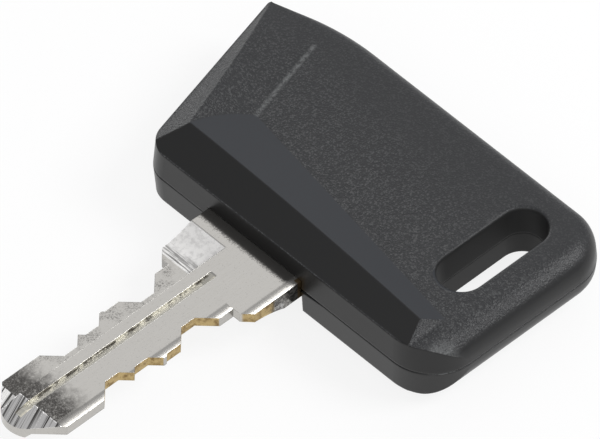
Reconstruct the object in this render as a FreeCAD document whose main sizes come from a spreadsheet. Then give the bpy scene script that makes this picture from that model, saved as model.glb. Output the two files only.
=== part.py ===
import FreeCAD, Part
import Sketcher
import math
import os
import re

# Ignition key: a double-sided plated brass blade whose tang is held between two moulded half shells.
# The origin is on the blade's axis, where it leaves the head, in the parting plane of the shells.
# -X runs along the blade to its tip, +X into the head, and +Z is the upper shell.

V = FreeCAD.Vector
doc = FreeCAD.newDocument("ignition_key")
sheet = doc.addObject("Spreadsheet::Sheet", "Sizes")
sums = doc.addObject("Spreadsheet::Sheet", "Sums")

SIZES = {
    # blade
    "blade_thick": 2.15,
    "blade_half": 4.5,
    "tip_apex": 33.0,
    "nose_round": 2.78,
    "nose_thick": 0.55,
    "nose_bevel": 4.1,
    "cut_near_head": 11.3,
    "cut_pitch": 3.3,
    "cut_flat": 1.7,
    "cut_half_a": 2.8,
    "cut_half_b": 4.3,
    "cut_half_c": 3.4,
    "cut_half_d": 2.85,
    "shoulder_half": 6.4,
    "shoulder_reach": 7.0,
    "shoulder_chamfer": 1.0,
    "shoulder_seat": 0.6,
    # milling of the blade's faces
    "web_thick": 1.12,
    "step_edge": 1.65,
    "cutter_radius": 11.0,
    "runout_end": 2.15,
    "groove_wide": 0.8,
    "groove_deep": 0.4,
    "groove_start": 30.6,
    "groove_end": 5.25,
    "groove_ramp": 1.5,
    # tang inside the head
    "tang_half": 5.0,
    "tang_reach": 16.0,
    "tang_hole": 3.2,
    "hole_near": 5.5,
    "hole_pitch": 7.0,
    # head, outer form
    "head_deep": 24.7,
    "head_right": 24.23,
    "head_left": 15.24,
    "left_angle": 14.1,
    "half_height": 3.2,
    "draft_angle": 3.6,
    "round_near_left": 3.0,
    "round_near_right": 5.2,
    "round_far_right": 5.0,
    "far_curve": 20.0,
    "far_turn": 23.0,
    "far_corner_x": 21.5,
    "round_far_left": 0.6,
    "edge_round_end": 2.75,
    "edge_round_far": 2.0,
    "edge_round_curve": 1.1,
    "edge_round_corner": 0.25,
    "parting_chamfer": 0.09,
    # raised thumb rim along the near and left sides
    "rim_inset": 0.12,
    "rim_wide_near": 3.45,
    "rim_high_near": 1.3,
    "rim_wide_right": 2.7,
    "rim_high_right": 0.7,
    "rim_wide_left": 2.35,
    "rim_stop": 19.45,
    "rim_stop_angle": 30.0,
    "facet_near": 10.2,
    "facet_left": 10.55,
    "facet_near_right": 5.5,
    "facet_far_left": 13.5,
    # key ring slot
    "slot_middle_x": 14.7,
    "slot_middle_y": 17.28,
    "slot_long": 12.4,
    "slot_wide": 4.3,
    "slot_draft": 5.2,
    "slot_lip": 0.4,
    # fit of the blade between the shells
    "fit_gap": 0.05,
    "notch_deep": 1.8,
    "peg_wide": 3.0,
    "side_peg_x": 20.0,
    "side_peg_left": 11.0,
    "side_peg_right": 9.0,
    "side_peg_reach": 1.8,
    "gape_open": 0.38,
    "gape_run": 3.2,
    "gape_deep": 0.8,
}

for row, (alias, number) in enumerate(SIZES.items(), start=1):
    sheet.set("A%d" % row, alias)
    sheet.set("B%d" % row, str(number))
    sheet.setAlias("B%d" % row, alias)
doc.recompute()


def tied(text):
    """A sum of sizes as an expression for a property of another object."""
    return re.sub(r"[a-z_]+", lambda word: "Sizes." + word[0] if word[0] in SIZES else word[0], text)


def value(text):
    """What a sum of sizes comes to."""
    sums.set("A1", "=" + tied(text))
    sums.recompute()
    return float(sums.get("A1"))


def bind(made, prop, text):
    made.setExpression(prop, tied(text))


def dimension(sketch, kind, references, text):
    """A driving dimension of a sketch."""
    index = sketch.addConstraint(Sketcher.Constraint(kind, *references, value(text)))
    bind(sketch, "Constraints[%d]" % index, text)


def straight_outline(sketch, corners):
    """A closed outline of straight sides. Each corner is a pair of sums, measured from the origin."""
    places = [V(value(x), value(y), 0) for x, y in corners]
    first = sketch.GeometryCount
    count = len(corners)
    for i in range(count):
        sketch.addGeometry(Part.LineSegment(places[i], places[(i + 1) % count]), False)
    for i in range(count):
        sketch.addConstraint(Sketcher.Constraint("Coincident", first + i, 2, first + (i + 1) % count, 1))
    for i, (x, y) in enumerate(corners):
        dimension(sketch, "DistanceX", (-1, 1, first + i, 1), x)
        dimension(sketch, "DistanceY", (-1, 1, first + i, 1), y)


def origin_plane(body, role):
    return [item for item in body.Origin.OriginFeatures if item.Role == role][0]


def sketch_on(body, name, role):
    sketch = body.newObject("Sketcher::SketchObject", name)
    sketch.AttachmentSupport = (origin_plane(body, role), [""])
    sketch.MapMode = "FlatFace"
    return sketch


def through_cut(body, name, sketch, length):
    """A pocket cut both ways from its sketch."""
    cut = body.newObject("PartDesign::Pocket", name)
    cut.Profile = sketch
    cut.Type = "Length"
    cut.SideType = "Symmetric"
    bind(cut, "Length", length)
    doc.recompute()
    return cut


# Blade: the uncut blank is as wide as the shoulder near the head and comes to a blunt point
def blade_blank(body):
    corners = [
        ("tang_reach", "tang_half"),
        ("shoulder_seat", "tang_half"),
        ("shoulder_seat", "shoulder_half"),
        ("-shoulder_reach + shoulder_chamfer", "shoulder_half"),
        ("-shoulder_reach", "shoulder_half - shoulder_chamfer"),
        ("-shoulder_reach", "blade_half"),
        ("-tip_apex + blade_half", "blade_half"),
    ]
    apex = ("-tip_apex", "0")
    mirrored = [(x, "-(" + y + ")") for x, y in reversed(corners)]
    outline = sketch_on(body, "blade_outline", "XY_Plane")
    straight_outline(outline, corners + [apex] + mirrored)
    blank = body.newObject("PartDesign::Pad", "blade_blank")
    blank.Profile = outline
    blank.SideType = "Symmetric"
    bind(blank, "Length", "blade_thick")
    doc.recompute()
    nose = body.newObject("PartDesign::Fillet", "nose_round")
    at_apex = value("-tip_apex") + 0.01
    edges = ["Edge%d" % number for number, edge in enumerate(blank.Shape.Edges, start=1)
             if edge.BoundBox.XMax < at_apex]
    nose.Base = (blank, edges)
    bind(nose, "Radius", "nose_round")
    doc.recompute()


def key_cuts(body):
    """Each cut is a flat with 45 degree flanks, the same in both edges."""
    for i, letter in enumerate("abcd"):
        half = "cut_half_" + letter
        middle = "-(cut_near_head + %d * cut_pitch)" % i
        beyond = "(shoulder_half + 1)"
        spread = "(%s - %s)" % (beyond, half)
        for edge, sign in (("left", ""), ("right", "-")):
            sketch = sketch_on(body, "cut_%s_%s" % (letter, edge), "XY_Plane")
            straight_outline(sketch, [
                (middle + " + cut_flat / 2", sign + half),
                (middle + " - cut_flat / 2", sign + half),
                (middle + " - cut_flat / 2 - " + spread, sign + beyond),
                (middle + " + cut_flat / 2 + " + spread, sign + beyond),
            ])
            through_cut(body, "key_cut_%s_%s" % (letter, edge), sketch, "blade_thick * 2")


def milled_step(body):
    """The left edge is milled down to a thin web, and the cutter runs out towards the head."""
    depth = value("blade_thick - web_thick")
    radius = value("cutter_radius")
    bed = "-blade_thick / 2 + web_thick"
    run = "sqrt(cutter_radius ^ 2 - (cutter_radius - blade_thick + web_thick) ^ 2)"
    beyond = "-tip_apex - 2"
    start = V(value("-runout_end - " + run), value(bed), 0)
    end = V(value("-runout_end"), value("blade_thick / 2"), 0)
    middle = V(start.x, start.y + radius, 0)
    half_turn = math.acos((radius - depth) / radius) / 2
    sag = V(math.sin(half_turn), -math.cos(half_turn), 0) * radius
    high = V(end.x, end.y + radius, 0)
    far = V(value(beyond), high.y, 0)
    low = V(far.x, start.y, 0)

    profile = sketch_on(body, "step_profile", "XZ_Plane")
    profile.AttachmentOffset = FreeCAD.Placement(V(0, 0, -value("step_edge")), FreeCAD.Rotation())
    bind(profile, "AttachmentOffset.Base.z", "-step_edge")
    sides = [Part.LineSegment(low, start), Part.Arc(start, middle + sag, end),
             Part.LineSegment(end, high), Part.LineSegment(high, far), Part.LineSegment(far, low)]
    profile.addGeometry(sides, False)
    count = len(sides)
    for i in range(count):
        profile.addConstraint(Sketcher.Constraint("Coincident", i, 2, (i + 1) % count, 1))
    dimension(profile, "DistanceX", (-1, 1, 1, 1), "-runout_end - " + run)
    dimension(profile, "DistanceY", (-1, 1, 1, 1), bed)
    dimension(profile, "DistanceX", (-1, 1, 2, 1), "-runout_end")
    dimension(profile, "DistanceY", (-1, 1, 2, 1), "blade_thick / 2")
    dimension(profile, "Radius", (1,), "cutter_radius")
    dimension(profile, "DistanceX", (-1, 1, 4, 1), beyond)
    dimension(profile, "DistanceY", (-1, 1, 4, 1), "blade_thick / 2 + cutter_radius")
    profile.addConstraint(Sketcher.Constraint("Vertical", 2))
    profile.addConstraint(Sketcher.Constraint("Horizontal", 3))
    profile.addConstraint(Sketcher.Constraint("Vertical", 4))
    step = body.newObject("PartDesign::Pocket", "milled_step")
    step.Profile = profile
    step.Type = "Length"
    bind(step, "Length", "shoulder_half * 2")
    doc.recompute()
    return step


def face_groove(body):
    """A narrow groove along the middle of the face, run in and out by its cutter."""
    bed = "blade_thick / 2 - groove_deep"
    profile = sketch_on(body, "groove_profile", "XZ_Plane")
    straight_outline(profile, [
        ("-groove_start", "blade_thick / 2 + 1"),
        ("-groove_start", "blade_thick / 2"),
        ("-groove_start + groove_ramp", bed),
        ("-groove_end - groove_ramp", bed),
        ("-groove_end", "blade_thick / 2"),
        ("-groove_end", "blade_thick / 2 + 1"),
    ])
    return through_cut(body, "face_groove", profile, "groove_wide")


def nose_bevel(body):
    """The point is thinned by a bevel on the face."""
    fall = "(blade_thick - nose_thick) / 2 / nose_bevel"
    profile = sketch_on(body, "bevel_profile", "XZ_Plane")
    straight_outline(profile, [
        ("-tip_apex + nose_bevel", "blade_thick / 2"),
        ("-tip_apex + nose_bevel", "blade_thick / 2 + 1"),
        ("-tip_apex - 1", "blade_thick / 2 + 1"),
        ("-tip_apex - 1", "nose_thick / 2 - " + fall),
    ])
    return through_cut(body, "nose_bevel", profile, "blade_half * 4")


def tang_holes(body):
    sketch = sketch_on(body, "tang_hole_places", "XY_Plane")
    for i, place in enumerate(("hole_near", "hole_near + hole_pitch")):
        sketch.addGeometry(Part.Circle(V(value(place), 0, 0), V(0, 0, 1), value("tang_hole / 2")), False)
        dimension(sketch, "Radius", (i,), "tang_hole / 2")
        dimension(sketch, "DistanceX", (-1, 1, i, 3), place)
        sketch.addConstraint(Sketcher.Constraint("PointOnObject", i, 3, -1))
    return through_cut(body, "tang_holes", sketch, "blade_thick * 2")


def make_blade():
    body = doc.addObject("PartDesign::Body", "key_blade")
    body.Label = "key_blade"
    blade_blank(body)
    key_cuts(body)
    one_face = [milled_step(body), face_groove(body), nose_bevel(body)]
    # The other face is milled the same, with the blank turned over about its long axis.
    turned = body.newObject("PartDesign::PolarPattern", "other_face")
    turned.Originals = one_face
    turned.Axis = (origin_plane(body, "X_Axis"), [""])
    turned.Angle = 360
    turned.Occurrences = 2
    body.Tip = turned
    doc.recompute()
    body.Tip = tang_holes(body)
    doc.recompute()
    return body


# Head outline in the parting plane: three straight walls, a slanted left wall and a curved far corner
LEFT_WALL = "head_left + (%s) * tan(left_angle * 1 deg)"


def head_outline(name, near):
    """The outline with square corners. Its near side is at near, a sum of sizes."""
    bend_x = "(head_deep - far_curve * (1 - cos(far_turn * 1 deg)))"
    corner_y = "(" + LEFT_WALL % "far_corner_x" + ")"
    bend_y = "(" + corner_y + " - (" + bend_x + " - far_corner_x) / tan(far_turn * 1 deg))"
    corners = [
        (near, "-head_right"),
        ("head_deep", "-head_right"),
        ("head_deep", bend_y + " - far_curve * sin(far_turn * 1 deg)"),
        (bend_x, bend_y),
        ("far_corner_x", corner_y),
        (near, LEFT_WALL % near),
    ]
    places = [V(value(x), value(y), 0) for x, y in corners]
    radius = value("far_curve")
    middle = places[2] - V(radius, 0, 0)
    half_turn = math.radians(value("far_turn")) / 2
    bulge = middle + V(math.cos(half_turn), math.sin(half_turn), 0) * radius

    sketch = doc.addObject("Sketcher::SketchObject", name)
    arc_side = 2
    count = len(places)
    for i in range(count):
        after = places[(i + 1) % count]
        side = Part.Arc(places[i], bulge, after) if i == arc_side else Part.LineSegment(places[i], after)
        sketch.addGeometry(side, False)
    for i in range(count):
        sketch.addConstraint(Sketcher.Constraint("Coincident", i, 2, (i + 1) % count, 1))
    for i, (x, y) in enumerate(corners):
        dimension(sketch, "DistanceX", (-1, 1, i, 1), x)
        dimension(sketch, "DistanceY", (-1, 1, i, 1), y)
    dimension(sketch, "Radius", (arc_side,), "far_curve")
    return sketch


def drafted_block(name, near, height):
    """The outline raised from the parting plane, leaning in by the draft that frees it from its mould."""
    block = doc.addObject("Part::Extrusion", name)
    block.Base = head_outline(name + "_outline", near)
    block.DirMode = "Custom"
    block.Dir = V(0, 0, 1)
    block.Solid = True
    bind(block, "LengthFwd", height)
    bind(block, "TaperAngle", "-draft_angle")
    doc.recompute()
    return block


def corner_edges(block, x, y):
    """Numbers of the block's upright edges at one corner of the outline."""
    found = []
    for number, edge in enumerate(block.Shape.Edges, start=1):
        rise = abs(edge.Vertexes[0].Z - edge.Vertexes[-1].Z)
        lean = rise * math.tan(math.radians(value("draft_angle"))) * 2 + 0.1
        if rise > value("half_height") / 2 and all(math.hypot(p.X - x, p.Y - y) < lean for p in edge.Vertexes):
            found.append(number)
    return found


def rounded(name, block, edges):
    """Fillets given as edge number, radius at its start and radius at its end."""
    fillet = doc.addObject("Part::Fillet", name)
    fillet.Base = block
    fillet.Edges = edges
    doc.recompute()
    return fillet


def side_walls():
    """Everything inside the head's side walls, higher than the head."""
    block = drafted_block("side_walls", "0", "half_height + 4")
    corners = [
        (0.0, value(LEFT_WALL % "0"), value("round_near_left")),
        (0.0, value("-head_right"), value("round_near_right")),
        (value("head_deep"), value("-head_right"), value("round_far_right")),
        (value("far_corner_x"), value(LEFT_WALL % "far_corner_x"), value("round_far_left")),
    ]
    edges = [(n, r, r) for x, y, r in corners for n in corner_edges(block, x, y)]
    walls = rounded("side_walls_rounded", block, edges)
    # A fine chamfer round the parting plane makes the line between the shells.
    line = doc.addObject("Part::Chamfer", "parting_line")
    line.Base = walls
    size = value("parting_chamfer")
    line.Edges = [(n, size, size) for n, edge in enumerate(walls.Shape.Edges, start=1)
                  if all(abs(p.Z) < 1e-6 for p in edge.Vertexes)]
    doc.recompute()
    return line


def face_plate():
    """The flat plate of the head, with its far and right edges rounded. It runs on past the near wall."""
    block = drafted_block("plate_block", "-4", "half_height")
    far_right = value("round_far_right")
    turned = rounded("plate_corner", block,
                     [(n, far_right, far_right)
                      for n in corner_edges(block, value("head_deep"), value("-head_right"))])
    # The rounding follows the right end, the corner, the far side and its curve, and fades to the far corner.
    end, far, curve, corner = [value("edge_round_" + name) for name in ("end", "far", "curve", "corner")]
    top = value("half_height")
    right = value("-head_right")
    bend_x = value("head_deep - far_curve * (1 - cos(far_turn * 1 deg))")

    def radius_at(point):
        if point.Y < right + 1:
            return end
        if point.X > bend_x + 0.5:
            return far
        return curve if point.X > bend_x - 0.5 else corner

    edges = []
    for number, edge in enumerate(turned.Shape.Edges, start=1):
        level = all(abs(p.Z - top) < 1e-6 for p in edge.Vertexes)
        middle = edge.CenterOfMass
        outer = middle.y < right + 1 or middle.x > value("far_corner_x")
        if level and outer:
            edges.append((number, radius_at(edge.Vertexes[0]), radius_at(edge.Vertexes[-1])))
    return rounded("face_plate", turned, edges)


# Thumb rim: two outer faces rise from the wall's top edge, and two inner faces fall to the plate.
# Each is the top of a block ruled between two sections, and the rim is what the blocks share.
RULED_REACH = 32.0
RULED_PAST = 10.0
BEFORE_NEAR_WALL = -1.0


def section(corners):
    points = [V(*corner) for corner in corners]
    return Part.makePolygon(points + points[:1])


def ruled_block(first, last):
    return Part.makeLoft([section(first), section(last)], True, True)


def along(start, end, share):
    return start + (end - start) * share


def thumb_rim():
    top = value("half_height")
    low = top / 2
    edge = value("half_height * tan(draft_angle * 1 deg) + rim_inset")
    widen = 1 / math.cos(math.radians(value("left_angle")))
    slant = math.tan(math.radians(value("left_angle")))

    def left_edge(x):
        return value("head_left") + x * slant - edge * widen

    # The ridge is highest where the two sides meet, and falls to both ends.
    far_x = value("far_corner_x")
    stop = -value("rim_stop")
    peak = V(edge + value("rim_wide_near"), 0, top + value("rim_high_near"))
    peak.y = left_edge(peak.x) - value("rim_wide_left") * widen
    ridge_end = V(edge + value("rim_wide_right"), stop, top + value("rim_high_right"))
    far_end = V(far_x, left_edge(far_x), top)
    # The foot of the inner faces, at their meeting, at the right end and at the far end.
    foot = V(value("facet_near"), value("facet_left"), top)
    foot_end = V(value("facet_near_right"), stop, top)
    foot_far = V(far_x, value("facet_far_left"), top)

    def near_sections(y):
        """Sections across the near side at y: under its outer face, and under its inner face."""
        ridge = along(ridge_end, peak, (y - stop) / (peak.y - stop))
        base = along(foot_end, foot, (y - stop) / (foot.y - stop))
        outer_slope = (ridge.z - top) / (ridge.x - edge)
        inner_slope = (ridge.z - top) / (base.x - ridge.x)
        outer = [(edge, y, low), (edge, y, top),
                 (edge + RULED_REACH, y, top + outer_slope * RULED_REACH), (edge + RULED_REACH, y, low)]
        inner = [(base.x, y, low), (base.x, y, top),
                 (base.x - RULED_REACH, y, top + inner_slope * RULED_REACH), (base.x - RULED_REACH, y, low)]
        return outer, inner

    def left_sections(x):
        """The same across the left side at x. The outer face is flat."""
        wall = left_edge(x)
        outer_slope = (peak.z - top) / (left_edge(peak.x) - peak.y)
        ridge = along(peak, far_end, (x - peak.x) / (far_end.x - peak.x))
        base = along(foot, foot_far, (x - foot.x) / (foot_far.x - foot.x))
        inner_slope = (ridge.z - top) / (ridge.y - base.y)
        reach = wall - stop + RULED_PAST
        outer = [(x, wall, low), (x, wall, top), (x, wall - reach, top + outer_slope * reach),
                 (x, wall - reach, low)]
        inner = [(x, base.y, low), (x, base.y, top),
                 (x, base.y + RULED_REACH, top + inner_slope * RULED_REACH), (x, base.y + RULED_REACH, low)]
        return outer, inner

    right = near_sections(stop - RULED_PAST / 2)
    left = near_sections(value("head_left") + RULED_PAST)
    near = left_sections(BEFORE_NEAR_WALL)
    far = left_sections(far_x - value("rim_inset"))
    under_outer = ruled_block(right[0], left[0]).common(ruled_block(near[0], far[0]))
    under_inner = ruled_block(right[1], left[1]).fuse(ruled_block(near[1], far[1]))

    # The near side ends in a slope down to the plate.
    fall = math.tan(math.radians(value("rim_stop_angle")))
    past = RULED_PAST + value("head_left") - stop
    slope = [(BEFORE_NEAR_WALL, stop - (ridge_end.z - low) / fall, low),
             (BEFORE_NEAR_WALL, stop + past, ridge_end.z + fall * past),
             (BEFORE_NEAR_WALL, stop + past, low)]
    under_slope = Part.Face(section(slope)).extrude(V(value("head_deep") + 2, 0, 0))
    return under_outer.common(under_inner).common(under_slope)


def part_feature(name, shape):
    made = doc.addObject("Part::Feature", name)
    made.Shape = shape
    return made


def joined(kind, name, shapes):
    made = doc.addObject(kind, name)
    made.Shapes = shapes
    return made


def cut_away(name, base, tool):
    made = doc.addObject("Part::Cut", name)
    made.Base = base
    made.Tool = tool
    doc.recompute()
    return made


def box(name, low, high):
    """A box between two corners, each given as three sums."""
    made = doc.addObject("Part::Box", name)
    for prop, a, b in zip(("Length", "Width", "Height"), low, high):
        bind(made, prop, "(%s) - (%s)" % (b, a))
    for axis, a in zip("xyz", low):
        bind(made, "Placement.Base." + axis, a)
    return made


# Key ring slot: wider at the head's face than at the parting plane, with a rounded lip
def slot_outline():
    half_wide = value("slot_wide / 2")
    middle = V(value("slot_middle_x"), -value("slot_middle_y"), 0)
    reach = V(value("slot_long / 2 - slot_wide / 2"), 0, 0)
    up = V(0, half_wide, 0)
    out = V(half_wide, 0, 0)
    right = middle + reach
    left = middle - reach
    sketch = doc.addObject("Sketcher::SketchObject", "slot_outline")
    sketch.addGeometry([
        Part.LineSegment(left + up, right + up),
        Part.Arc(right + up, right + out, right - up),
        Part.LineSegment(right - up, left - up),
        Part.Arc(left - up, left - out, left + up),
    ], False)
    ends = [(0, 2, 1, 2), (1, 1, 2, 1), (2, 2, 3, 2), (3, 1, 0, 1)]
    for end in ends:
        sketch.addConstraint(Sketcher.Constraint("Coincident", *end))
    reach_text = "(slot_long - slot_wide) / 2"
    for arc, text in ((1, "slot_middle_x + " + reach_text), (3, "slot_middle_x - " + reach_text)):
        dimension(sketch, "Radius", (arc,), "slot_wide / 2")
        dimension(sketch, "DistanceX", (-1, 1, arc, 3), text)
        dimension(sketch, "DistanceY", (-1, 1, arc, 3), "-slot_middle_y")
    for line in (0, 2):
        for vertex in (1, 2):
            side = reach_text if (line == 0) == (vertex == 2) else "-" + reach_text
            dimension(sketch, "DistanceX", (-1, 1, line, vertex), "slot_middle_x + " + side)
    return sketch


def ring_slot(base):
    prism = doc.addObject("Part::Extrusion", "slot_prism")
    prism.Base = slot_outline()
    prism.DirMode = "Custom"
    prism.Dir = V(0, 0, 1)
    prism.Solid = True
    bind(prism, "LengthFwd", "half_height + 1")
    bind(prism, "TaperAngle", "slot_draft")
    doc.recompute()
    slotted = cut_away("slotted_half", base, prism)
    top = value("half_height")
    lip = value("slot_lip")
    middle = V(value("slot_middle_x"), -value("slot_middle_y"), top)
    half_long = value("slot_long / 2 + half_height * tan(slot_draft * 1 deg)")
    half_wide = value("slot_wide / 2 + half_height * tan(slot_draft * 1 deg)")
    edges = []
    for number, edge in enumerate(slotted.Shape.Edges, start=1):
        level = all(abs(p.Z - top) < 1e-4 for p in edge.Vertexes)
        offset = edge.CenterOfMass - middle
        if level and abs(offset.x) < half_long + lip and abs(offset.y) < half_wide + lip:
            edges.append((number, lip, lip))
    return rounded("slot_lip", slotted, edges)


def peg_places():
    """Each peg's place, and how far it reaches below the parting plane."""
    through = "blade_thick / 2 + side_peg_reach / 2"
    return [
        ("hole_near", "0", through),
        ("hole_near + hole_pitch", "0", through),
        ("side_peg_x", "side_peg_left", "side_peg_reach"),
        ("side_peg_x", "-side_peg_right", "side_peg_reach"),
    ]


def round_bar(name, radius, place, low, high):
    bar = doc.addObject("Part::Cylinder", name)
    bind(bar, "Radius", radius)
    bind(bar, "Height", "(%s) - (%s)" % (high, low))
    for axis, text in zip("xyz", (place[0], place[1], low)):
        bind(bar, "Placement.Base." + axis, text)
    return bar


def pocket_for_blade(name, sign):
    """Half of the room for the blade's end: its shoulder in the mouth, then its tang."""
    top = "blade_thick / 2 + fit_gap"
    span = ("0", top) if sign > 0 else ("-(" + top + ")", "0")
    mouth = box(name + "_mouth", ("-1", "-shoulder_half - fit_gap", span[0]),
                ("shoulder_seat + fit_gap", "shoulder_half + fit_gap", span[1]))
    tang = box(name + "_tang", ("0", "-tang_half - fit_gap", span[0]),
               ("tang_reach + fit_gap", "tang_half + fit_gap", span[1]))
    return [mouth, tang]


def parting_gape():
    """The shells stand a little open beside the blade, and close again along the near wall."""
    half = "shoulder_half + fit_gap"
    sketch = doc.addObject("Sketcher::SketchObject", "gape_outline")
    straight_outline(sketch, [
        ("-(%s)" % half, "0"),
        ("-(%s)" % half, "-gape_open"),
        ("-(%s) - gape_run" % half, "0"),
    ])
    # The sketch's X is the head's Y, and its Y is the head's Z.
    sketch.Placement = FreeCAD.Placement(V(-1, 0, 0), FreeCAD.Rotation(V(0, 1, 0), V(0, 0, 1), V(1, 0, 0)))
    wedge = doc.addObject("Part::Extrusion", "parting_gape")
    wedge.Base = sketch
    wedge.DirMode = "Custom"
    wedge.Dir = V(1, 0, 0)
    wedge.Solid = True
    bind(wedge, "LengthFwd", "gape_deep + 1")
    return wedge


def make_half():
    """One half of the head without the room for the blade. The upper shell is its true side up."""
    body = joined("Part::MultiFuse", "plate_and_rim", [face_plate(), part_feature("thumb_rim", thumb_rim())])
    half = joined("Part::MultiCommon", "half_in_walls", [side_walls(), body])
    doc.recompute()
    return ring_slot(half)


def make_upper_shell(half):
    hollow = joined("Part::MultiFuse", "upper_room", pocket_for_blade("upper_room", 1))
    open_half = cut_away("upper_half", half, hollow)
    pegs = [round_bar("peg_%d" % i, "peg_wide / 2", place, "-(" + place[2] + ")", "half_height / 2")
            for i, place in enumerate(peg_places(), start=1)]
    return joined("Part::MultiFuse", "upper_shell", [open_half] + pegs)


def make_lower_shell(half):
    """The mirrored half, with sockets for the pegs and a notch that is open under the blade."""
    mirrored = doc.addObject("Part::Mirroring", "mirrored_half")
    mirrored.Source = half
    mirrored.Normal = V(0, 0, 1)
    notch = box("blade_notch", ("-1", "-shoulder_half - fit_gap", "-half_height - 4"),
                ("notch_deep", "shoulder_half + fit_gap", "0"))
    sockets = [round_bar("socket_%d" % i, "peg_wide / 2 + fit_gap", place,
                         "-(" + place[2] + ") - fit_gap", "1")
               for i, place in enumerate(peg_places(), start=1)]
    waste = joined("Part::MultiFuse", "lower_room",
                   pocket_for_blade("lower_room", -1) + [notch, parting_gape()] + sockets)
    return cut_away("lower_shell", mirrored, waste)


blade = make_blade()
head_half = make_half()
upper_shell = make_upper_shell(head_half)
lower_shell = make_lower_shell(head_half)
upper_shell.Label = "upper_shell"
lower_shell.Label = "lower_shell"
doc.recompute()

for item in doc.Objects:
    if "Invalid" in item.State or "Error" in item.State:
        raise RuntimeError("failed: " + item.Name)

os.makedirs("parts", exist_ok=True)
for part in (blade, upper_shell, lower_shell):
    shape = part.Shape
    if shape.isNull() or not shape.isValid():
        raise RuntimeError("bad shape: " + part.Label)
    shape.exportStep("parts/%s.step" % part.Label)
    extent = shape.optimalBoundingBox()
    print(part.Label, len(shape.Solids), "solids", len(shape.Faces), "faces", "volume %.2f" % shape.Volume,
          "box %.2f %.2f %.2f to %.2f %.2f %.2f" % (extent.XMin, extent.YMin, extent.ZMin,
                                                   extent.XMax, extent.YMax, extent.ZMax))
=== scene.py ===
import bpy
import math
from mathutils import Matrix, Vector


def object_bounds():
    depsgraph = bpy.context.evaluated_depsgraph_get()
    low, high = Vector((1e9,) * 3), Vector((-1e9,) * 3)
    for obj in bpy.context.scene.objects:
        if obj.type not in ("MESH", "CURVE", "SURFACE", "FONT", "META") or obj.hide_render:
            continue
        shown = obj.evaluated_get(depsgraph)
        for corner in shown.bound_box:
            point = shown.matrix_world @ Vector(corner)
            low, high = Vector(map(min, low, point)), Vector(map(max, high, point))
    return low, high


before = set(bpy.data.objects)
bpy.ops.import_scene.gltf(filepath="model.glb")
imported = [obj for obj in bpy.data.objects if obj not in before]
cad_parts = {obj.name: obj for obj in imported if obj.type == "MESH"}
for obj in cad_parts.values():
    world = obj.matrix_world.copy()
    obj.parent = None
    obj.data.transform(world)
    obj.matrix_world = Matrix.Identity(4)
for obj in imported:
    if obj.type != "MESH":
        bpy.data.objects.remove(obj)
cad_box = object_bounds()
MM = 0.001

# The camera looks down at the key from beside its tip, as in the photograph. A long lens keeps the
# head's parallel edges parallel. CAMERA_TARGET is in mm until it is scaled, and CAMERA_AWAY in mm.
CAMERA_RIGHT = Vector((0.7254, -0.6883, 0.0))
CAMERA_UP = Vector((0.5139, 0.5413, 0.6654))
CAMERA_BACK = Vector((-0.4580, -0.4827, 0.7464))
CAMERA_TARGET = Vector((4.671, -1.250, 2.059)) * MM
CAMERA_AWAY = 1600.0
PIXELS_PER_MM = 10.53
IMAGE_WIDTH = 600
SENSOR_WIDTH = 36.0

camera_data = bpy.data.cameras.new("camera")
camera_data.sensor_width = SENSOR_WIDTH
camera_data.lens = PIXELS_PER_MM * CAMERA_AWAY * SENSOR_WIDTH / IMAGE_WIDTH
camera_data.clip_start = 0.01
camera_data.clip_end = 10.0
camera = bpy.data.objects.new("camera", camera_data)
turn = Matrix((CAMERA_RIGHT, CAMERA_UP, CAMERA_BACK)).transposed().to_4x4()
camera.matrix_world = Matrix.Translation(CAMERA_TARGET + CAMERA_BACK * CAMERA_AWAY * MM) @ turn
bpy.context.scene.collection.objects.link(camera)
bpy.context.scene.camera = camera
bpy.context.scene.view_settings.view_transform = "Standard"


# The studio: a white sweep that the key lies on, under soft lamps. The camera and the metal see the
# sweep as white, and it keeps a soft shadow.
FLOOR_HALF = 3.0
FLOOR_COLOUR = (0.92, 0.92, 0.92, 1)
FLOOR_GLOW = 0.85
WORLD_COLOUR = (0.98, 0.98, 1.0, 1)
WORLD_STRENGTH = 0.48


def new_material(name):
    """A material, its node tree and the Principled shader in it."""
    material = bpy.data.materials.new(name)
    material.use_nodes = True
    tree = material.node_tree
    return material, tree, tree.nodes["Principled BSDF"]


def seen_or_mirrored(tree):
    """1 for camera, glossy and transmission rays, else 0."""
    rays = tree.nodes.new("ShaderNodeLightPath")
    total = rays.outputs["Is Camera Ray"]
    for kind in ("Is Glossy Ray", "Is Transmission Ray"):
        add = tree.nodes.new("ShaderNodeMath")
        add.operation = "MAXIMUM"
        tree.links.new(total, add.inputs[0])
        tree.links.new(rays.outputs[kind], add.inputs[1])
        total = add.outputs[0]
    return total


floor_mesh = bpy.data.meshes.new("floor")
square = ((-1, -1), (1, -1), (1, 1), (-1, 1))
floor_corners = [(x * FLOOR_HALF, y * FLOOR_HALF, cad_box[0][2]) for x, y in square]
floor_mesh.from_pydata(floor_corners, [], [(0, 1, 2, 3)])
floor = bpy.data.objects.new("floor", floor_mesh)
bpy.context.scene.collection.objects.link(floor)
sweep, tree, shader = new_material("white_sweep")
shader.inputs["Base Color"].default_value = FLOOR_COLOUR
shader.inputs["Roughness"].default_value = 0.9
shader.inputs["Specular IOR Level"].default_value = 0.0
glow = tree.nodes.new("ShaderNodeEmission")
glow.inputs["Strength"].default_value = 1.0
share = tree.nodes.new("ShaderNodeMath")
share.operation = "MULTIPLY"
share.inputs[1].default_value = FLOOR_GLOW
tree.links.new(seen_or_mirrored(tree), share.inputs[0])
blend = tree.nodes.new("ShaderNodeMixShader")
tree.links.new(share.outputs[0], blend.inputs[0])
tree.links.new(shader.outputs[0], blend.inputs[1])
tree.links.new(glow.outputs[0], blend.inputs[2])
tree.links.new(blend.outputs[0], tree.nodes["Material Output"].inputs["Surface"])
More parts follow.
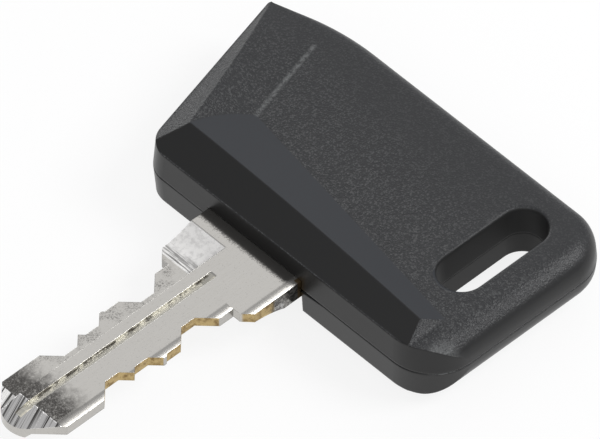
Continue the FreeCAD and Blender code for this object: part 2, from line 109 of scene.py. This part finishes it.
floor_mesh.materials.append(sweep)

world = bpy.data.worlds.new("studio")
world.use_nodes = True
bpy.context.scene.world = world
sky = world.node_tree.nodes["Background"]
sky.inputs["Color"].default_value = WORLD_COLOUR
sky.inputs["Strength"].default_value = WORLD_STRENGTH


def soft_lamp(name, way, away, width, height, radiance):
    """A rectangle of light, width by height mm, that stands away mm from the key and faces it."""
    data = bpy.data.lights.new(name, "AREA")
    data.shape = "RECTANGLE"
    data.size = width * MM
    data.size_y = height * MM
    data.energy = radiance * math.pi * data.size * data.size_y
    lamp = bpy.data.objects.new(name, data)
    way = Vector(way).normalized()
    facing_key = way.to_track_quat("Z", "Y").to_matrix().to_4x4()
    lamp.matrix_world = Matrix.Translation(CAMERA_TARGET + way * away * MM) @ facing_key
    lamp.visible_camera = False
    bpy.context.scene.collection.objects.link(lamp)


soft_lamp("lamp_behind", way=(0.58, 0.45, 0.68), away=500, width=420, height=330, radiance=0.54)
soft_lamp("lamp_right", way=(0.46, -0.52, 0.71), away=500, width=220, height=240, radiance=8.5)
soft_lamp("lamp_front", way=(-0.60, -0.58, 0.56), away=900, width=700, height=700, radiance=1.25)
soft_lamp("lamp_left", way=(0.30, 0.92, 0.26), away=600, width=320, height=170, radiance=4.0)


# The head is two half shells moulded in black plastic and pressed together over the blade's tang.
# The face is grained, and the slopes round it and the walls are smooth. Its high edges get painted
# highlights.
# Sizes and places are in mm, from the CAD frame's origin.
PLASTIC = (0.0200, 0.0208, 0.0225)
PLASTIC_COOL_REFLECTION = (0.0220, 0.0245, 0.0290)
PLASTIC_SHADE = (0.0090, 0.0090, 0.0090)
PLASTIC_GREY = (0.075, 0.077, 0.078)
PLASTIC_HIGHLIGHT = (0.13, 0.135, 0.135)
PLASTIC_GLOSS = 0.38
PLASTIC_ROUGH = 0.34
GRAINED_ROUGH = 0.07
SLOT_ROUGH = 0.25
GRAINS_PER_MM = 5.2
GRAIN_DEPTH = 0.1
HEAD_EDGE_RADIUS = 0.30
INNER_SLOPE_END = 11.0
OUTER_SLOPE_END = 4.6
SLOT_MIDDLE = (14.7, -17.28)
SLOT_ROOM = (6.6, 2.5)
CREASE_START = (10.2, 10.55)
CREASE_END = (21.5, 13.5)
CREASE_WIDTH = 0.38
HIGHLIGHT_CORNER = (2.3, -23.9)
HIGHLIGHT_REACH = 2.5


class Pattern:
    """Short names for the nodes that make the masks and colours of one material."""

    def __init__(self, tree):
        self.tree = tree
        self.coords = tree.nodes.new("ShaderNodeTexCoord")
        self.place = self.stretched(self.coords.outputs["Object"], (1 / MM, 1 / MM, 1 / MM))

    def node(self, kind, **settings):
        """A new node with its properties and unlinked inputs set by name."""
        made = self.tree.nodes.new(kind)
        for name, setting in settings.items():
            if hasattr(made, name):
                setattr(made, name, setting)
            else:
                made.inputs[name].default_value = setting
        return made

    def wire(self, start, end):
        """A link. Where start is a number or a colour, it is the socket's own value instead."""
        if isinstance(start, tuple):
            end.default_value = start + (1,)
        elif isinstance(start, (int, float)):
            end.default_value = start
        else:
            self.tree.links.new(start, end)

    def maths(self, operation, *terms):
        made = self.node("ShaderNodeMath", operation=operation)
        for term, socket in zip(terms, made.inputs):
            self.wire(term, socket)
        return made.outputs[0]

    def plus(self, first, second):
        return self.maths("ADD", first, second)

    def minus(self, first, second):
        return self.maths("SUBTRACT", first, second)

    def times(self, first, *others):
        for other in others:
            first = self.maths("MULTIPLY", first, other)
        return first

    def most(self, first, *others):
        for other in others:
            first = self.maths("MAXIMUM", first, other)
        return first

    def size(self, value):
        return self.maths("ABSOLUTE", value)

    def outside(self, mask):
        """1 where the mask is 0, and 0 where it is 1."""
        return self.minus(1.0, mask)

    def rise(self, value, low, high):
        """0 below low, 1 above high, smooth between. It falls instead where low is above high."""
        made = self.node("ShaderNodeMapRange", interpolation_type="SMOOTHSTEP")
        self.wire(value, made.inputs["Value"])
        made.inputs["From Min"].default_value = min(low, high)
        made.inputs["From Max"].default_value = max(low, high)
        if low > high:
            made.inputs["To Min"].default_value = 1.0
            made.inputs["To Max"].default_value = 0.0
        return made.outputs["Result"]

    def between(self, value, low, high, soft):
        """1 between low and high, falling to 0 over the soft width at each end."""
        return self.times(self.rise(value, low - soft, low), self.rise(value, high + soft, high))

    def axes(self, vector):
        made = self.node("ShaderNodeSeparateXYZ")
        self.wire(vector, made.inputs[0])
        return tuple(made.outputs)

    def stretched(self, vector, scale, turn=0.0):
        """Coordinates turned about Z by -turn, then scaled on each axis."""
        made = self.node("ShaderNodeMapping", vector_type="TEXTURE")
        made.inputs["Rotation"].default_value = (0, 0, turn)
        made.inputs["Scale"].default_value = [1.0 / factor for factor in scale]
        self.wire(vector, made.inputs["Vector"])
        return made.outputs[0]

    def noise(self, vector, scale, detail, rough):
        made = self.node("ShaderNodeTexNoise", Scale=scale, Detail=detail, Roughness=rough)
        self.wire(vector, made.inputs["Vector"])
        return made.outputs["Fac"]

    def painted(self, colour, share, second):
        """The colour, with a share of the second one mixed in."""
        made = self.node("ShaderNodeMix", data_type="RGBA")
        self.wire(share, made.inputs[0])
        self.wire(colour, made.inputs[6])
        self.wire(second, made.inputs[7])
        return made.outputs[2]

    def relief(self, height, depth, edge_radius):
        """A normal for a height, where 1 is depth mm, over edges rounded by edge_radius mm."""
        soften = self.node("ShaderNodeBevel", samples=6, Radius=edge_radius * MM)
        made = self.node("ShaderNodeBump", Strength=1.0, Distance=depth * MM)
        self.wire(height, made.inputs["Height"])
        self.wire(soften.outputs[0], made.inputs["Normal"])
        return made.outputs[0]


def dress(name, material):
    """Gives a CAD node its one material."""
    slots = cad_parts[name].data.materials
    slots.clear()
    slots.append(material)


head_finish, tree, shader = new_material("moulded_black_plastic")
shader.inputs["Specular IOR Level"].default_value = PLASTIC_GLOSS
p = Pattern(tree)
x, y = p.axes(p.place)[:2]
face_x, face_y, face_z = p.axes(p.coords.outputs["Normal"])
upward = p.rise(p.size(face_z), 0.50, 0.82)
walls = p.outside(upward)

# The slopes of the thumb rim have no grain. The inner one is painted a cooler tone as a painted
# reflection, and the outer one darker as painted shade.
inner_slope = p.rise(p.minus(face_x, p.times(p.size(face_y), 0.7)), 0.02, 0.07)
inner_slope = p.times(inner_slope, p.rise(x, INNER_SLOPE_END, INNER_SLOPE_END - 0.4))
outer_slope = p.times(p.rise(face_x, -0.12, -0.22), p.rise(x, OUTER_SLOPE_END, OUTER_SLOPE_END - 0.4))
grained = p.times(upward, p.outside(p.most(inner_slope, outer_slope)))
colour = p.painted(PLASTIC, inner_slope, PLASTIC_COOL_REFLECTION)
colour = p.painted(colour, outer_slope, PLASTIC_SHADE)
# The left slope is painted a little paler, a painted highlight.
lit_left_slope = p.times(p.rise(face_y, 0.25, 0.40), upward)
colour = p.painted(colour, p.times(lit_left_slope, 0.1), PLASTIC_GREY)

# The moulded grain has rounded grains of uneven size, and a few that stand out. It is fainter away from
# the blade.
cells = p.node("ShaderNodeTexVoronoi", feature="SMOOTH_F1", Scale=GRAINS_PER_MM, Smoothness=0.6)
p.wire(p.place, cells.inputs["Vector"])
grain = p.minus(p.noise(p.place, 3.6, 3.0, 0.6), p.times(cells.outputs["Distance"], 0.55))
dust_and_glint_peaks = p.rise(grain, 0.16, 0.44)
drift = p.plus(x, p.times(p.noise(p.place, 0.16, 3.0, 0.6), 12.0))
shown = p.times(grained, p.plus(0.35, p.times(p.rise(drift, 29.0, 17.0), 0.65)))
# The grain's peaks are painted pale, partly as dust and partly as painted highlights.
colour = p.painted(colour, p.times(dust_and_glint_peaks, dust_and_glint_peaks, shown, 0.75), PLASTIC_GREY)

# The walls are smooth, and painted darker as painted shade, darkest in the slot.
colour = p.painted(colour, p.times(walls, 0.8), PLASTIC_SHADE)
along_slot = p.size(p.minus(x, SLOT_MIDDLE[0]))
across_slot = p.size(p.minus(y, SLOT_MIDDLE[1]))
in_slot = p.times(p.rise(along_slot, SLOT_ROOM[0] + 0.1, SLOT_ROOM[0]), walls)
in_slot = p.times(in_slot, p.rise(across_slot, SLOT_ROOM[1] + 0.1, SLOT_ROOM[1]))
colour = p.painted(colour, in_slot, PLASTIC_SHADE)

# The crease between the face and the left slope gets a painted highlight in dots.
lean = (CREASE_END[1] - CREASE_START[1]) / (CREASE_END[0] - CREASE_START[0])
line_y = p.plus(CREASE_START[1] - CREASE_START[0] * lean, p.times(x, lean))
crease_highlight = p.rise(p.size(p.minus(y, line_y)), CREASE_WIDTH, 0.05)
crease_highlight = p.times(crease_highlight, p.between(x, CREASE_START[0] + 0.3, CREASE_END[0] - 1.2, 0.6))
crease_highlight = p.times(crease_highlight, p.rise(p.noise(p.place, 2.6, 3.0, 0.8), 0.34, 0.62))
colour = p.painted(colour, p.times(crease_highlight, 0.85), PLASTIC_HIGHLIGHT)

# The near right corner gets a painted highlight in patches.
off_x = p.minus(x, HIGHLIGHT_CORNER[0])
off_y = p.minus(y, HIGHLIGHT_CORNER[1])
off_corner = p.maths("SQRT", p.plus(p.times(off_x, off_x), p.times(off_y, off_y)))
corner = p.times(p.rise(off_corner, HIGHLIGHT_REACH, 0.3), p.rise(face_z, 0.2, 0.5))
corner = p.times(corner, p.rise(p.noise(p.place, 1.6, 4.0, 0.7), 0.30, 0.60))
colour = p.painted(colour, p.times(corner, 0.8), PLASTIC_HIGHLIGHT)

rough = p.plus(p.plus(PLASTIC_ROUGH, p.times(grained, GRAINED_ROUGH)), p.times(in_slot, SLOT_ROUGH))
p.wire(colour, shader.inputs["Base Color"])
p.wire(rough, shader.inputs["Roughness"])
p.wire(p.relief(p.times(grain, shown), GRAIN_DEPTH, HEAD_EDGE_RADIUS), shader.inputs["Normal"])
dress("upper_shell", head_finish)
dress("lower_shell", head_finish)


# The blade is stamped brass plate, milled on both faces and nickel plated. The cuts in its edges were
# made after plating, so they show bare brass. The groove holds dirt and painted shade, and a painted
# reflection of the head lies where the blade meets it.
NICKEL = (0.545, 0.53, 0.50)
NICKEL_HIGHLIGHT = (0.88, 0.87, 0.85)
NICKEL_DARK = (0.060, 0.057, 0.054)
BRASS = (0.54, 0.41, 0.20)
BRASS_DIRTY = (0.24, 0.155, 0.065)
DIRT_AND_SHADE = (0.070, 0.060, 0.045)
GROOVE_HIGHLIGHT = (0.80, 0.765, 0.65)
GROOVE_BED = (0.56, 0.545, 0.49)
NICKEL_ROUGH = 0.05
SPECKLED_ROUGH = 0.11
DULL_ROUGH = 0.35
BLADE_HALF = 4.5
SHOULDER_HALF = 6.4
SHOULDER_REACH = 7.0
SHOULDER_SIDE = -5.4
STEP_EDGE = 1.65
WEB_START = -6.2
RUN_OUT = (-6.4, -2.3)
BEFORE_NOSE = (-24.0, -27.4)
NOSE_START = -28.75
STROKE_TURN = math.radians(20)
CUTS_ALONG = (-24.6, -8.8)
CUTS_ACROSS = (2.4, 4.4)
RUBBED_SHOULDER = (-6.7, -3.6)
GROOVE_ALONG = (-30.6, -5.2)
GROOVE_HALF = 0.46
GROOVE_DEPTH = 1.06
EDGE_ROLL = 1.15
ROLL_FALL = 0.36
STROKE_DEPTH = 0.08
GRIT_DEPTH = 0.0025
DRAWN_DEPTH = 0.002
BLADE_EDGE_RADIUS = 0.08

blade_finish, tree, shader = new_material("nickel_plated_brass")
p = Pattern(tree)
x, y, z = p.axes(p.place)
face_z = p.axes(p.coords.outputs["Normal"])[2]
steep = p.rise(p.size(face_z), 0.7, 0.4)
flat = p.outside(steep)
# The lower face is the upper one turned over about the blade's axis. side is above 0 beyond the groove.
side = p.times(y, p.minus(p.times(p.rise(z, -0.05, 0.05), 2.0), 1.0))
across = p.size(y)
wobble = p.noise(p.place, 1.6, 4.0, 0.65)
speck = p.noise(p.place, 7.0, 3.0, 0.7)
coarse_speck = p.noise(p.place, 3.2, 3.0, 0.7)
cloud = p.noise(p.place, 0.55, 3.0, 0.6)

# A drawn sheen along the blade, with small dull pits.
drawn = p.noise(p.stretched(p.place, (0.35, 9.0, 1.0)), 1.0, 3.0, 0.6)
pitted = p.plus(p.times(p.rise(speck, 0.58, 0.75), 0.35), p.times(drawn, 0.12))
colour = p.painted(NICKEL, pitted, NICKEL_DARK)

# The milled web beside the step is mottled where the plating is thin.
beside = p.rise(side, STEP_EDGE, STEP_EDGE + 0.1)
web = p.times(beside, p.rise(steep, 0.6, 0.4), p.rise(x, WEB_START, WEB_START - 0.4))
mottle = p.times(p.rise(speck, 0.42, 0.66), p.rise(cloud, 0.40, 0.60))
colour = p.painted(colour, p.times(web, mottle, 0.6), NICKEL_DARK)

# Where the cutter runs out towards the head, the web is painted bright as a painted highlight, with
# cutter lines at its lower end.
run_out = p.times(beside, p.between(x, RUN_OUT[0], RUN_OUT[1], 0.15))
colour = p.painted(colour, run_out, NICKEL_HIGHLIGHT)
cutter_lines = p.rise(p.noise(p.stretched(p.place, (2.6, 0.12, 1.0)), 1.0, 3.0, 0.7), 0.50, 0.62)
cutter_lines = p.times(cutter_lines, p.rise(x, -4.2, -6.2))
colour = p.painted(colour, p.times(run_out, cutter_lines, 0.8), NICKEL_DARK)
colour = p.painted(colour, p.times(run_out, p.rise(wobble, 0.42, 0.66), 0.22), NICKEL_DARK)

# Before the nose, either side of the groove, the plating is painted dark as a painted reflection, with
# clear specks in it.
along = p.plus(x, p.times(p.minus(wobble, 0.5), 3.0))
before_nose = p.times(p.rise(along, BEFORE_NOSE[0], BEFORE_NOSE[1]), p.rise(side, -3.9, -3.2))
clear = p.plus(p.times(p.rise(speck, 0.48, 0.66), 0.4), p.times(p.rise(coarse_speck, 0.54, 0.70), 0.4))
colour = p.painted(colour, p.times(before_nose, p.outside(clear), flat, 0.97), NICKEL_DARK)

# The nose bevel is painted bright as a painted highlight, and shows coarse dark strokes of the cutter.
nose = p.times(p.rise(x, NOSE_START, NOSE_START - 0.1), flat)
strokes = p.noise(p.stretched(p.place, (0.05, 4.2, 0.05), STROKE_TURN), 1.0, 3.0, 0.6)
colour = p.painted(colour, nose, NICKEL_HIGHLIGHT)
colour = p.painted(colour, p.times(nose, p.rise(strokes, 0.48, 0.64)), NICKEL_DARK)

# Bare brass in the cuts and on the near side of the shoulder.
near_side = p.rise(y, SHOULDER_SIDE, SHOULDER_SIDE - 0.2)
cuts = p.between(x, CUTS_ALONG[0], CUTS_ALONG[1], 0.1)
cuts = p.times(cuts, p.between(across, CUTS_ACROSS[0], CUTS_ACROSS[1], 0.08))
rubbed = p.times(p.between(x, RUBBED_SHOULDER[0], RUBBED_SHOULDER[1], 0.3), near_side)
bare = p.times(steep, p.most(cuts, rubbed))
colour = p.painted(colour, bare, p.painted(BRASS, p.rise(wobble, 0.42, 0.70), BRASS_DIRTY))

# The near side of the shoulder is scuffed, and brown where it meets the head.
scuffed = p.times(steep, near_side, p.rise(x, -4.2, -3.4))
marks = p.plus(0.45, p.times(p.rise(coarse_speck, 0.40, 0.60), 0.5))
colour = p.painted(colour, p.times(scuffed, marks), NICKEL_DARK)
brown = p.times(p.rise(x, -0.50, -0.35), p.rise(y, -5.75, -5.95))
colour = p.painted(colour, p.times(brown, 0.9), BRASS_DIRTY)

# A painted reflection of the head lies dark where the blade leaves it, with a ragged edge.
ragged = p.plus(x, p.times(p.minus(speck, 0.5), 1.6))
head_reflection = p.times(p.rise(ragged, -1.5, -1.0), p.rise(y, -5.75, -5.4), p.outside(brown))
colour = p.painted(colour, p.times(head_reflection, 0.75), NICKEL_DARK)

# The groove has a pale line on its near side as a painted highlight, and dirt with painted shade along
# its far side.
in_groove = p.times(p.rise(across, GROOVE_HALF, GROOVE_HALF - 0.06), p.rise(p.size(z), GROOVE_DEPTH, 1.0))
in_groove = p.times(in_groove, p.between(x, GROOVE_ALONG[0], GROOVE_ALONG[1], 0.1))
colour = p.painted(colour, in_groove, GROOVE_BED)
colour = p.painted(colour, p.times(in_groove, p.rise(side, -0.14, -0.26)), GROOVE_HIGHLIGHT)
lie = p.noise(p.stretched(p.place, (0.8, 3.5, 1.0)), 1.0, 4.0, 0.65)
groove_dirt_and_shade = p.times(in_groove, p.rise(p.plus(lie, p.times(side, 0.7)), 0.71, 0.82))
colour = p.painted(colour, groove_dirt_and_shade, DIRT_AND_SHADE)

# The blank's near edge rolls down from the face, and catches the light. side is below 0 there.
shoulder = p.rise(x, -SHOULDER_REACH, -SHOULDER_REACH + 0.01)
edge = p.plus(BLADE_HALF, p.times(shoulder, SHOULDER_HALF - BLADE_HALF))
roll = p.most(p.outside(p.maths("DIVIDE", p.plus(edge, side), EDGE_ROLL)), 0.0)
dull = p.most(in_groove, bare, p.times(run_out, 0.6), p.times(p.rise(roll, 0.0, 0.5), 0.55))
rough = p.plus(p.plus(NICKEL_ROUGH, p.times(speck, SPECKLED_ROUGH)), p.times(dull, DULL_ROUGH))
metal = p.minus(p.outside(p.times(groove_dirt_and_shade, 0.9)), p.times(head_reflection, 0.25))
height = p.times(p.maths("POWER", roll, 1.7), -ROLL_FALL)
height = p.plus(height, p.plus(p.times(drawn, DRAWN_DEPTH), p.times(speck, GRIT_DEPTH)))
height = p.plus(height, p.times(nose, strokes, STROKE_DEPTH))

p.wire(colour, shader.inputs["Base Color"])
p.wire(p.minus(metal, p.times(run_out, 0.65)), shader.inputs["Metallic"])
p.wire(rough, shader.inputs["Roughness"])
p.wire(p.relief(height, 1.0, BLADE_EDGE_RADIUS), shader.inputs["Normal"])
dress("key_blade", blade_finish)
